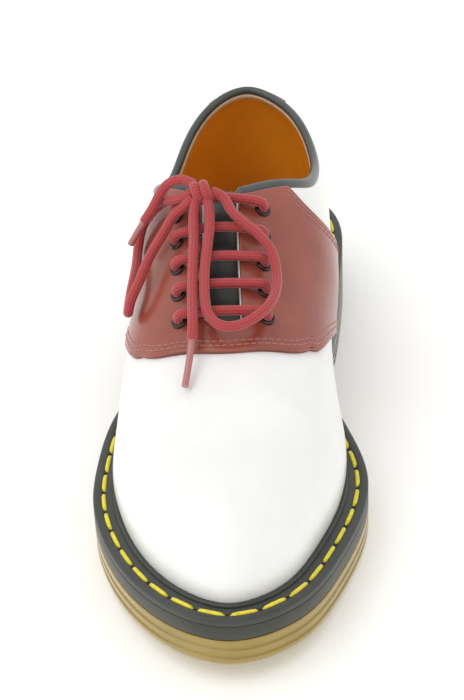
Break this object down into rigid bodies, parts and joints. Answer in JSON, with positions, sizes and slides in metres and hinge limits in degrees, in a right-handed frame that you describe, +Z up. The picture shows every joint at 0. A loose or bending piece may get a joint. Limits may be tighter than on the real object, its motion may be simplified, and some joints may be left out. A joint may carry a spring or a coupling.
{
  "type": "saddle shoe",
  "caption": "Low lace-up saddle shoe, right foot: white leather upper, oxblood saddle over the instep, black stitched welt and amber cushioned sole.",
  "frame": {"origin": "centre of the bounding box's underside, on the floor under the middle of the sole, laces left out", "axes": "+Y towards the heel, -Y towards the toe, +X towards the medial side, +Z up"},
  "size_m": [0.1067, 0.3, 0.1155],
  "materials": {
    "amber_sole": "translucent amber, ribbed side",
    "black_band": "satin black band above the amber",
    "black_welt": "satin black strip with yellow stitches",
    "tan_insole": "smooth tan footbed",
    "white_leather": "smooth polished white leather, tan inside",
    "black_leather": "smooth black leather",
    "oxblood_leather": "smooth polished oxblood leather",
    "black_binding": "rolled black edge binding",
    "black_enamel": "glossy black enamel",
    "oxblood_lace": "round waxed cotton lace"
  },
  "bodies": {
    "root": {"outsole": "amber_sole", "midsole": "black_band", "welt": "black_welt", "insole": "tan_insole", "upper": "white_leather", "tongue": "black_leather", "saddle": "oxblood_leather", "heel_tab": "oxblood_leather", "collar_binding": "black_binding", "eyelet_medial_1": "black_enamel", "eyelet_medial_2": "black_enamel", "eyelet_medial_3": "black_enamel", "eyelet_medial_4": "black_enamel", "eyelet_medial_5": "black_enamel", "eyelet_lateral_1": "black_enamel", "eyelet_lateral_2": "black_enamel", "eyelet_lateral_3": "black_enamel", "eyelet_lateral_4": "black_enamel", "eyelet_lateral_5": "black_enamel", "lace_bar_1": "oxblood_lace", "lace_bar_2": "oxblood_lace", "lace_bar_3": "oxblood_lace", "lace_bar_4": "oxblood_lace", "lace_bar_5": "oxblood_lace", "lace_knot": "oxblood_lace", "lace_loop_medial": "oxblood_lace", "lace_loop_lateral": "oxblood_lace", "lace_end_centre": "oxblood_lace", "lace_end_lateral": "oxblood_lace"}
  },
  "joints": []
}
